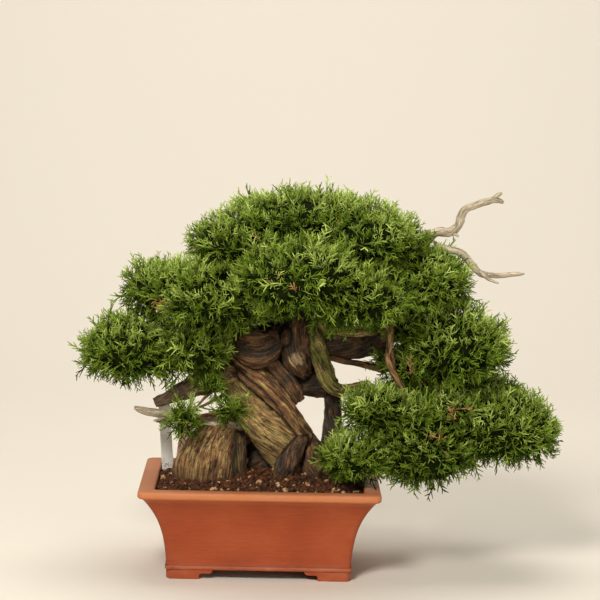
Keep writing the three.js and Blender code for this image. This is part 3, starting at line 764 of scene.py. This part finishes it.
deadwood = {
    "deadwood_upper": [
        [(163, 20, 318, 6), (167, 18, 345, 5.4), (172, 16, 354, 5.2), (181, 14, 359, 4.9),
         (194, 12, 360, 4.8), (202, 10, 366, 4.8), (206, 9, 379, 4.5), (210, 8, 385, 4.3),
         (220, 8, 389, 3.9), (231, 7, 393, 3.6), (240, 6, 395, 3.2), (246, 6, 394, 2.6),
         (249, 6, 392, 1.4)],
        [(236, 7, 394, 2.6), (243, 5, 400, 2.2), (247, 4, 402.5, 1.2)],
        [(165, 18, 336, 3), (160, 12, 346, 2), (158, 9, 352, 1)],
        [(196, 12, 362, 2.4), (200, 8, 358, 1.8), (203, 5, 356, 0.9)]],
    "deadwood_lower": [
        [(166, 18, 326, 4.6), (177, 13, 338, 4.6), (184, 11, 342, 4.6), (192, 10, 341, 4.4),
         (202, 8, 340, 4.2), (211, 7, 334, 4), (219, 6, 325, 3.8), (227, 5, 318, 3.6),
         (236, 4, 316, 3.2), (248, 3, 316, 2.8), (260, 3, 317.5, 2.3), (268, 2, 318, 1.9),
         (273, 2, 318.5, 1)],
        [(221, 6, 323, 2.6), (228, 3, 318, 2.2), (236, 1, 312, 1.8), (246, -1, 308, 1)],
        [(182, 11, 342, 2.6), (180, 8, 348, 1.8), (176, 5, 351, 1)]],
    "deadwood_left": [
        [(-20, 4, 150, 5.4), (-46, -1, 154, 5.6), (-66, -4, 158, 5), (-84, -5, 163, 5),
         (-102, -6, 163, 4.8), (-118, -7, 165, 4.4), (-128, -8, 168, 3.4), (-134, -8, 170, 1.6)],
        [(-96, -6, 163, 3), (-106, -10, 158, 2.2), (-113, -12, 157, 1)]],
    "deadwood_stub": [
        [(-34, 12, 204, 12), (-56, 6, 196, 12.5), (-70, 4, 192, 12), (-84, 2, 186, 10),
         (-98, 0, 180, 7.6), (-108, 0, 176, 6.4), (-113, 0, 174, 5)]],
}

woodValues = {
    "voxel": 1.5, "soften": 2, "ridge": 1.0, "thinTwist": 0.02, "thinTone": 0.36,
    "agedTones": {"deadwood_stub": 0.85, "deadwood_left": 0.25},
    "patch": (36, -15, 224), "patchSlope": (0.55, 0, -0.83), "patchLength": 12, "patchWidth": 10,
    "soilShadeFrom": 112, "soilShadeOver": 22,
}


# Every limb's centre line as one table: place, radius, side, cross, length along, twist, tone, owner.
def limbSamples(lines, spacing):
    table = []
    for owner, (points, twist, tone) in enumerate(lines):
        path, along = smoothPath(points, spacing)
        side, cross = carriedFrames(path)
        ones = np.ones(len(path))
        table.append(np.column_stack([path, side, cross, along + 400 * owner, ones * twist,
                                      ones * tone, ones * owner]))
    return np.vstack(table)


# For each point: grain place (around, around, along), tone, and how close it is to a crease.
def layGrain(points, samples):
    grain, tone, crease = np.zeros((len(points), 3)), np.zeros(len(points)), np.zeros(len(points))
    owner = samples[:, 13].astype(int)
    for start in range(0, len(points), 3000):
        part = points[start:start + 3000]
        batch = slice(start, start + 3000)
        away = np.linalg.norm(part[:, None, :] - samples[None, :, :3], axis=2) / samples[None, :, 3]
        best = away.argmin(axis=1)
        nearest = away[np.arange(len(part)), best]
        rival = np.where(owner[None, :] == owner[best][:, None], 9.0, away).min(axis=1)
        found = samples[best]
        out = part - found[:, :3]
        angle = np.arctan2((out * found[:, 7:10]).sum(1), (out * found[:, 4:7]).sum(1))
        angle += found[:, 10] * found[:, 11]
        radius = found[:, 3]
        grain[batch] = np.column_stack([np.cos(angle) * radius, np.sin(angle) * radius, found[:, 10]])
        tone[batch] = found[:, 12]
        crease[batch] = np.clip(1 - (rival - nearest) / 0.22, 0, 1)
    return grain, tone, crease


# Long raised strips that follow the grain, from about -1 to 1.
def ridgeHeights(grain, across, alongScale):
    heights = np.empty(len(grain))
    for i, (x, y, z) in enumerate(grain):
        sway = 1.5 * noise.noise((x * 0.05, y * 0.05, z * 0.03))
        wide = noise.noise((x * across + sway, y * across, z * alongScale))
        fine = noise.noise((x * across * 2.6, y * across * 2.6 + sway, z * alongScale * 2.2 + 40))
        heights[i] = (1 - abs(wide) * 4.2) * 0.5 + (0.5 - abs(fine) * 3.0) * 0.6
    return heights


def setLayers(mesh, **layers):
    for name, values in layers.items():
        kind, field = ("FLOAT_VECTOR", "vector") if values.ndim == 2 else ("FLOAT", "value")
        mesh.attributes.new(name, kind, "POINT").data.foreach_set(field, values.ravel())


def readVerts(mesh, field):
    values = np.empty(len(mesh.vertices) * 3)
    mesh.vertices.foreach_get(field, values)
    return values.reshape(-1, 3)


def movePoints(mesh, points):
    mesh.vertices.foreach_set("co", points.ravel())
    mesh.update()


def buildTrunk():
    v = woodValues
    bm = bmesh.new()
    for index, (flutes, depth, twist, tone, points) in enumerate(limbs.values()):
        def shape(angle, along):
            wave = math.cos(flutes * (angle + twist * along))
            swell = noise.noise((math.cos(angle), math.sin(angle), along * 0.035 + index * 9))
            return 1 + depth * wave + 0.16 * swell
        growTube(bm, points, 3.0, 40, shape)
    mesh = bakedModifiers(meshFrom(bm), ("REMESH", {"mode": "VOXEL", "voxel_size": v["voxel"]}),
                          ("SMOOTH", {"factor": 0.5, "iterations": v["soften"]}))
    points, normals = readVerts(mesh, "co"), readVerts(mesh, "normal")
    samples = limbSamples([(points, twist, tone) for _, _, twist, tone, points in limbs.values()], 2.0)
    grain, tone, crease = layGrain(points, samples)
    ridges = ridgeHeights(grain, 0.3, 0.03)
    rough = np.array([noise.noise(Vector(p * 0.11)) for p in points])
    points += normals * (v["ridge"] * ridges - 1.4 * crease ** 2 + 0.5 * rough)[:, None]
    movePoints(mesh, points)
    # the bare scar on the front, kept off the wood behind it
    away, slope = points - np.array(v["patch"]), np.array(v["patchSlope"])
    alongPatch = away @ slope
    acrossPatch = np.linalg.norm(away - alongPatch[:, None] * slope, axis=1) * np.where(away[:, 1] > 9, 9, 1)
    patch = np.hypot(alongPatch / v["patchLength"], acrossPatch / v["patchWidth"])
    dead = np.clip((0.85 - patch + 0.3 * ridges) * 4, 0, 1)
    # The lowest wood is marked to be painted darker, partly for soil on it and partly as shade.
    low = np.clip((v["soilShadeFrom"] - points[:, 2]) / v["soilShadeOver"], 0, 1)
    setLayers(mesh, grain=grain, tone=tone + 0.12 * rough, crease=crease, ridge=ridges, dead=dead, soil=low)
    print("trunk", len(mesh.polygons), "faces")
    finishPiece("trunk_wood", mesh, "bark", "trunk")


# Thin limbs as plain tubes with the same grain layers as the trunk.
def tubesPiece(name, lines, tone, slotName, node=None, sides=12, knobs=0.12, ridge=0.25):
    bm = bmesh.new()
    for index, points in enumerate(lines):
        def shape(angle, along):
            swell = noise.noise((math.cos(angle) * 0.8, math.sin(angle) * 0.8, along * 0.09 + index * 7))
            return 1 + knobs * swell + 0.05 * math.cos(3 * angle + along * 0.05)
        growTube(bm, points, 2.0, sides, shape)
    mesh = meshFrom(bm)
    points = readVerts(mesh, "co")
    samples = limbSamples([(line, woodValues["thinTwist"], tone) for line in lines], 1.5)
    grain, tones, crease = layGrain(points, samples)
    ridges = ridgeHeights(grain, 0.45, 0.05)
    points += readVerts(mesh, "normal") * (ridges * ridge)[:, None]
    movePoints(mesh, points)
    none = np.zeros(len(points))
    setLayers(mesh, grain=grain, tone=tones, crease=none, ridge=ridges, dead=none, soil=none)
    print(name, len(mesh.polygons), "faces")
    finishPiece(name, mesh, slotName, node)


def barkMaterial():
    material, tree = newMaterial("bark")
    grain = readLayer(tree, "grain", "Vector")
    strips = useGroup(tree, fibres, Grain=grain, Across=0.13, Along=0.012, Contrast=2.4)
    strands = useGroup(tree, fibres, Grain=grain, Across=0.62, Along=0.045, Contrast=3.6)
    hairs = useGroup(tree, fibres, Grain=grain, Across=1.7, Along=0.13, Contrast=3.0)
    blotches = noiseField(tree, objectPlace(tree), 62.0, 5.0, 0.65)
    shift = times(tree, minus(tree, strips["Strand"], 0.5), 0.42)
    shift = plus(tree, shift, times(tree, minus(tree, blotches, 0.5), 1.0))
    tone = plus(tree, readLayer(tree, "tone"), shift, True)
    dark = addRamp(tree, tone, (0.0, (0.024, 0.017, 0.012)), (0.3, (0.12, 0.046, 0.022)),
                   (0.6, (0.42, 0.24, 0.075)), (0.9, (0.18, 0.155, 0.03)))
    light = addRamp(tree, tone, (0.0, (0.19, 0.145, 0.105)), (0.3, (0.62, 0.31, 0.125)),
                    (0.6, (1.0, 0.76, 0.31)), (0.78, (0.86, 0.72, 0.24)), (0.95, (0.34, 0.37, 0.08)))
    mask = plus(tree, times(tree, strands["Strand"], 0.6), times(tree, hairs["Strand"], 0.4))
    colour = mixColour(tree, mask, dark, light)
    # Grooves between the raised strips are painted dark as shade.
    raised = mapRange(tree, readLayer(tree, "ridge"), -0.9, 0.3, 0.2, 1.0)
    colour = mixColour(tree, raised, (0.014, 0.008, 0.005), colour)
    colour = mixColour(tree, times(tree, strands["Crack"], 0.8), colour, (0.014, 0.008, 0.006))
    # Where limbs meet, the crease is painted near black as shade.
    colour = mixColour(tree, times(tree, readLayer(tree, "crease"), 0.9), colour, (0.010, 0.006, 0.004))
    bare = addRamp(tree, mask, (0.2, (0.26, 0.16, 0.08)), (0.45, (0.62, 0.45, 0.25)),
                   (0.7, (0.80, 0.66, 0.43)))
    colour = mixColour(tree, readLayer(tree, "dead"), colour, bare)
    # The wood is darker towards its base: soil on the root bases and painted shade.
    soilAndShade = times(tree, readLayer(tree, "soil"), 0.6)
    colour = mixColour(tree, soilAndShade, colour, (0.030, 0.015, 0.008))
    height = minus(tree, plus(tree, strands["Strand"], times(tree, hairs["Strand"], 0.45)),
                   times(tree, strands["Crack"], 0.8))
    surface(tree, colour, 0.6, bump(tree, height, 1.0, 0.0013), 0.35)
    return material


def deadwoodMaterial():
    material, tree = newMaterial("deadwood")
    grain = readLayer(tree, "grain", "Vector")
    strands = useGroup(tree, fibres, Grain=grain, Across=0.9, Along=0.06, Contrast=3.0)
    hairs = useGroup(tree, fibres, Grain=grain, Across=2.4, Along=0.11, Contrast=2.6)
    blotch = useGroup(tree, fibres, Grain=grain, Across=0.12, Along=0.04, Contrast=3.0)["Strand"]
    mask = plus(tree, times(tree, strands["Strand"], 0.6), times(tree, hairs["Strand"], 0.4))
    fresh = addRamp(tree, mask, (0.1, (0.18, 0.13, 0.08)), (0.4, (0.58, 0.48, 0.33)),
                    (0.75, (0.86, 0.77, 0.60)))
    old = addRamp(tree, mask, (0.1, (0.025, 0.015, 0.010)), (0.45, (0.12, 0.062, 0.030)),
                  (0.8, (0.34, 0.21, 0.10)))
    colour = mixColour(tree, readLayer(tree, "tone"), fresh, old)
    stain = times(tree, minus(tree, blotch, 0.55, True), 1.5, True)
    colour = mixColour(tree, stain, colour, (0.17, 0.115, 0.07))
    colour = mixColour(tree, times(tree, strands["Crack"], 0.7), colour, (0.06, 0.035, 0.02))
    height = minus(tree, mask, times(tree, strands["Crack"], 0.6))
    surface(tree, colour, 0.7, bump(tree, height, 0.9, 0.0008), 0.3)
    return material


def buildWood():
    buildTrunk()
    tubesPiece("branches", list(thinLimbs.values()), woodValues["thinTone"], "bark", "trunk")
    for name, lines in deadwood.items():
        tubesPiece(name, lines, woodValues["agedTones"].get(name, 0.0), "deadwood", sides=14, knobs=0.24,
                   ridge=0.4)


soilValues = {
    "edge": 90.4, "crown": 4.6, "halfX": 107.7, "halfY": 74.7, "bottom": 36,
    "heap": (8, -2, 60, 30, 8),  # middle x and y, half length and depth, height
    "grains": 3000, "pale": 0.13, "seed": 5,
}


# Level at the wall, rising towards the roots, slightly uneven.
def soilHeight(x, y):
    v = soilValues
    fromWall = min(v["halfX"] - abs(x), v["halfY"] - abs(y))
    rise = min(1, max(0, fromWall / 45))
    lumps = noise.noise((x * 0.05, y * 0.05, 3)) * 1.5 + noise.noise((x * 0.16, y * 0.16, 8)) * 0.6
    middleX, middleY, halfLength, halfDepth, high = v["heap"]
    heap = high * math.exp(-((x - middleX) / halfLength) ** 2 - ((y - middleY) / halfDepth) ** 2)
    return v["edge"] + v["crown"] * rise * (2 - rise) + heap + lumps * min(1, fromWall / 12 + 0.2)


def buildSoil():
    v = soilValues
    bm = bmesh.new()
    bmesh.ops.create_grid(bm, x_segments=72, y_segments=50, size=1)
    for vert in bm.verts:
        x, y = vert.co.x * v["halfX"], vert.co.y * v["halfY"]
        vert.co = (x, y, soilHeight(x, y))
    for vert in grownVerts(bmesh.ops.extrude_face_region(bm, geom=bm.faces[:])):
        vert.co = (vert.co.x * 0.82, vert.co.y * 0.78, v["bottom"])
    mesh = meshFrom(bm)
    setLayers(mesh, pale=np.zeros(len(mesh.vertices)))
    finishPiece("soil_bed", mesh, "soil", "soil")

    rng = random.Random(v["seed"])
    sorts = []
    for _ in range(4):
        bm = bmesh.new()
        bmesh.ops.create_icosphere(bm, subdivisions=1, radius=1)
        for vert in bm.verts:
            vert.co *= rng.uniform(0.7, 1.15)
        bmesh.ops.scale(bm, verts=bm.verts[:], vec=(1, rng.uniform(0.7, 0.95), rng.uniform(0.6, 0.85)))
        sorts.append(toArrays(bm))
    points, faces, pale = [], [], []
    count = 0
    for _ in range(v["grains"]):
        x = rng.uniform(-1, 1) * (v["halfX"] - 1.5)
        y = rng.uniform(-1, 1) * (v["halfY"] - 1.5)
        light = rng.random() < v["pale"]
        size = 0.9 + 3.4 * rng.random() ** 2.4
        corners, triangles = rng.choice(sorts)
        spin = rng.uniform(0, fullTurn)
        turn = np.array(Matrix.Rotation(spin, 3, (rng.uniform(-1, 1), rng.uniform(-1, 1), 1)))
        points.append(corners @ turn.T * size + (x, y, soilHeight(x, y) + size * rng.uniform(0.0, 0.45)))
        faces.append(triangles + count)
        pale.append(np.full(len(corners), rng.uniform(0.75, 1) if light else rng.uniform(0, 0.35)))
        count += len(corners)
    mesh = meshFromArrays(np.vstack(points), np.vstack(faces))
    setLayers(mesh, pale=np.concatenate(pale))
    finishPiece("soil_grains", mesh, "soil", "soil", smooth=False)
    print("soil")


def soilMaterial():
    material, tree = newMaterial("soil")
    place = objectPlace(tree)
    lumps = noiseField(tree, place, 260.0, 4.0)
    fine = noiseField(tree, place, 1500.0)
    earth = addRamp(tree, lumps, (0.35, (0.012, 0.006, 0.004)), (0.5, (0.055, 0.022, 0.010)),
                    (0.68, (0.17, 0.062, 0.024)))
    stone = addRamp(tree, lumps, (0.3, (0.34, 0.15, 0.055)), (0.5, (0.62, 0.36, 0.17)),
                    (0.7, (0.85, 0.68, 0.45)))
    pale = readLayer(tree, "pale")
    colour = mixColour(tree, mapRange(tree, pale, 0.0, 0.35, 0.0, 0.4), earth, (0.25, 0.080, 0.026))
    colour = mixColour(tree, calc(tree, "GREATER_THAN", pale, 0.5), colour, stone)
    colour = mixColour(tree, times(tree, fine, 0.35), colour, (0.03, 0.016, 0.010))
    surface(tree, colour, 0.85, bump(tree, fine, 0.7, 0.0008), 0.25)
    return material


labelValues = {
    "label_white": {"slot": "white_plastic", "height": 108, "place": (-98, 46, 62),
                    "lean": -0.07, "turn": 0.16},
    "label_salmon": {"slot": "salmon_plastic", "height": 84, "place": (-91, 52, 60),
                     "lean": 0.12, "turn": -0.1},
}
labelWidth, labelThickness = 12.5, 0.9


def buildLabel(name):
    v = labelValues[name]
    bm = bmesh.new()
    half, point = labelWidth / 2, labelWidth * 0.55
    outline = [(0, 0), (half, point), (half, v["height"]), (-half, v["height"]), (-half, point)]
    flat = bm.faces.new([bm.verts.new((x, 0, z)) for x, z in outline])
    top = [vert for vert in flat.verts if vert.co.z > v["height"] - 1]
    bmesh.ops.bevel(bm, geom=top, offset=2.2, segments=4, affect="VERTICES", profile=0.5, material=-1)
    moved = grownVerts(bmesh.ops.extrude_face_region(bm, geom=bm.faces[:]))
    bmesh.ops.translate(bm, verts=moved, vec=(0, labelThickness, 0))
    bmesh.ops.recalc_face_normals(bm, faces=bm.faces[:])
    outer = [edge for edge in bm.edges if edge.calc_face_angle(0) > 1.2]
    bmesh.ops.bevel(bm, geom=outer, offset=0.18, segments=2, affect="EDGES", profile=0.5, material=-1)
    turn = Matrix.Rotation(v["lean"], 3, "Y") @ Matrix.Rotation(v["turn"], 3, "Z")
    bmesh.ops.rotate(bm, verts=bm.verts[:], cent=(0, 0, 0), matrix=turn)
    bmesh.ops.translate(bm, verts=bm.verts[:], vec=v["place"])
    finishPiece(name, meshFrom(bm), v["slot"], smooth=False)


# Thin label plastic with soil splashes towards its foot.
def plasticMaterial(name, clean, dirty):
    material, tree = newMaterial(name)
    place = objectPlace(tree)
    marks = noiseField(tree, place, 520.0, 6.0, 0.7)
    height = addNode(tree, "SeparateXYZ", n0=place).outputs[2]
    low = mapRange(tree, height, 0.085, 0.125, 0.5, 0.0)
    stain = calc(tree, "GREATER_THAN", plus(tree, marks, times(tree, low, 0.55)), 0.72)
    veil = times(tree, minus(tree, marks, 0.35, True), 0.5)
    colour = mixColour(tree, veil, clean, dirty)
    colour = mixColour(tree, times(tree, stain, 0.6), colour, (0.12, 0.07, 0.04))
    surface(tree, colour, mapRange(tree, marks, 0, 1, 0.35, 0.6), specular=0.4)
    return material


# The box of a solid in pot millimetres.
def solidBox(node):
    low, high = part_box(node)
    return intoFrame.inverted() @ low, intoFrame.inverted() @ high


def buildMeshSheet(name):
    low, high = solidBox(name)
    bm = bmesh.new()
    bmesh.ops.create_grid(bm, x_segments=8, y_segments=8, size=1)
    for vert in bm.verts:
        vert.co = (low.x + (vert.co.x + 1) / 2 * (high.x - low.x),
                   low.y + (vert.co.y + 1) / 2 * (high.y - low.y), low.z)
    holes = bmesh.ops.inset_individual(bm, faces=bm.faces[:], thickness=0.8)
    kept = set(holes["faces"])
    bmesh.ops.delete(bm, geom=[face for face in bm.faces if face not in kept], context="FACES")
    mesh = bakedModifiers(meshFrom(bm, False), ("SOLIDIFY", {"thickness": high.z - low.z, "offset": 1}))
    finishPiece(name, mesh, "mesh_plastic", smooth=False)


def buildWire(name):
    low, high = solidBox(name)
    middle, y, leg, radius = (low.x + high.x) / 2, (low.y + high.y) / 2, 4, 0.7
    under, over = low.z + radius, high.z - radius
    bm = bmesh.new()
    growTube(bm, [(x, y, z, radius) for x, z in (
        (low.x, under), (middle - leg - 2, under), (middle - leg, under + 3), (middle - leg, over - 2),
        (middle - leg + 2, over), (middle + leg - 2, over), (middle + leg, over - 2),
        (middle + leg, under + 3), (middle + leg + 2, under), (high.x, under))], 0.8, 10)
    finishPiece(name, meshFrom(bm), "wire")


# A plain speckled finish for the pieces under the soil.
def gritMaterial(name, dark, light, scale, roughness, specular=0.3):
    material, tree = newMaterial(name)
    specks = noiseField(tree, objectPlace(tree), scale, 4.0)
    colour = addRamp(tree, specks, (0.35, dark), (0.65, light))
    surface(tree, colour, roughness, bump(tree, specks, 0.5, 0.0005), specular)
    return material


def buildUnderSoil():
    for side in ("left", "right"):
        buildMeshSheet("drain_mesh_" + side)
        buildWire("mesh_wire_" + side)
    low, high = solidBox("drainage_layer")
    bm = bmesh.new()
    bmesh.ops.create_grid(bm, x_segments=40, y_segments=28, size=1)
    for vert in bm.verts:
        x, y = vert.co.x * (high.x - low.x) / 2, vert.co.y * (high.y - low.y) / 2
        vert.co = (x, y, high.z - 0.8 + noise.noise((x * 0.3, y * 0.3, 1)) * 0.8)
    for vert in grownVerts(bmesh.ops.extrude_face_region(bm, geom=bm.faces[:])):
        vert.co = (vert.co.x * 0.97, vert.co.y * 0.97, low.z + 0.4)
    finishPiece("drainage_grit", meshFrom(bm), "grit", "drainage_layer")
    print("under the soil")


stageValues = {
    "halfWidth": 20000, "front": -20000, "back": 2600, "height": 5000, "curve": 1500,
    "colour": (0.768, 0.731, 0.662), "air": (1.0, 0.93, 0.8, 1), "airStrength": 0.15,
    # name, position, target, size, watts, colour, in metres
    "lights": (("key", (-0.7, -1.9, 1.7), (0, 0, 0.2), 0.7, 52, (1.0, 0.95, 0.87)),
               ("fill", (1.4, -2.0, 0.6), (0, 0, 0.2), 1.2, 10, (1.0, 0.94, 0.86)),
               ("wash", (0.0, 0.6, 3.0), (0, 2.2, 0.7), 2.4, 66, (1.0, 0.95, 0.88))),
    "cameraAt": (11, -2332, 585), "lens": 134.4, "sensor": 36,
    "cameraTurn": (7.301243, 0.66501, 1.2),  # degrees down, aside and rolled
}


def buildStage():
    v = stageValues
    bm = bmesh.new()
    bmesh.ops.create_grid(bm, x_segments=1, y_segments=1, size=1)
    for vert in bm.verts:
        vert.co = (vert.co.x * v["halfWidth"], v["front"] if vert.co.y < 0 else v["back"], 0)
    back = [edge for edge in bm.edges if all(vert.co.y > 0 for vert in edge.verts)]
    for vert in grownVerts(bmesh.ops.extrude_edge_only(bm, edges=back)):
        vert.co.z = v["height"]
    fold = [edge for edge in bm.edges if len(edge.link_faces) == 2]
    bmesh.ops.bevel(bm, geom=fold, offset=v["curve"], segments=16, affect="EDGES", profile=0.5, material=-1)
    mesh = meshFrom(bm, False)
    mesh.transform(intoFrame)
    mesh.polygons.foreach_set("use_smooth", [True] * len(mesh.polygons))
    material, tree = newMaterial("floor")
    surface(tree, v["colour"], 0.75, specular=0.2)
    mesh.materials.append(material)
    addObject("floor", mesh)


def buildLightsAndCamera():
    v = stageValues
    scene = bpy.context.scene
    scene.world = bpy.data.worlds.new("studio")
    scene.world.use_nodes = True
    air = scene.world.node_tree.nodes["Background"].inputs
    air["Color"].default_value, air["Strength"].default_value = v["air"], v["airStrength"]
    scene.view_settings.view_transform = "Standard"
    for name, position, target, size, watts, colour in v["lights"]:
        data = bpy.data.lights.new(name, "AREA")
        data.shape = "DISK"
        data.size, data.energy, data.color = size, watts, colour
        light = addObject(name, data)
        light.location = position
        light.rotation_euler = (Vector(target) - Vector(position)).to_track_quat("-Z", "Y").to_euler()
    data = bpy.data.cameras.new("camera")
    data.sensor_width, data.lens, data.clip_end = v["sensor"], v["lens"], 50
    camera = addObject("camera", data)
    down, aside, rolled = map(math.radians, v["cameraTurn"])
    camera.matrix_world = (Matrix.Translation(intoFrame @ Vector(v["cameraAt"]))
                           @ Matrix.Rotation(-aside, 4, "Z") @ Matrix.Rotation(math.pi / 2 - down, 4, "X")
                           @ Matrix.Rotation(rolled, 4, "Z"))
    scene.camera = camera


fibres, weather = fibreGroup(), weatherGroup()
finishes = {
    "terracotta": terracottaMaterial(), "bark": barkMaterial(), "deadwood": deadwoodMaterial(),
    "soil": soilMaterial(), "foliage": foliageMaterial(),
    "white_plastic": plasticMaterial("white_plastic", (0.78, 0.78, 0.74), (0.52, 0.47, 0.38)),
    "salmon_plastic": plasticMaterial("salmon_plastic", (1.0, 0.66, 0.47), (0.86, 0.52, 0.36)),
    "mesh_plastic": gritMaterial("mesh_plastic", (0.010, 0.010, 0.011), (0.030, 0.031, 0.034), 500.0, 0.5),
    "wire": gritMaterial("wire", (0.32, 0.32, 0.33), (0.55, 0.55, 0.57), 700.0, 0.4, 0.6),
    "grit": gritMaterial("grit", (0.16, 0.13, 0.09), (0.45, 0.40, 0.30), 240.0, 0.9),
}
buildPot()
buildWood()
buildSoil()
for labelName in labelValues:
    buildLabel(labelName)
buildUnderSoil()
buildFoliage()
buildStage()
buildLightsAndCamera()
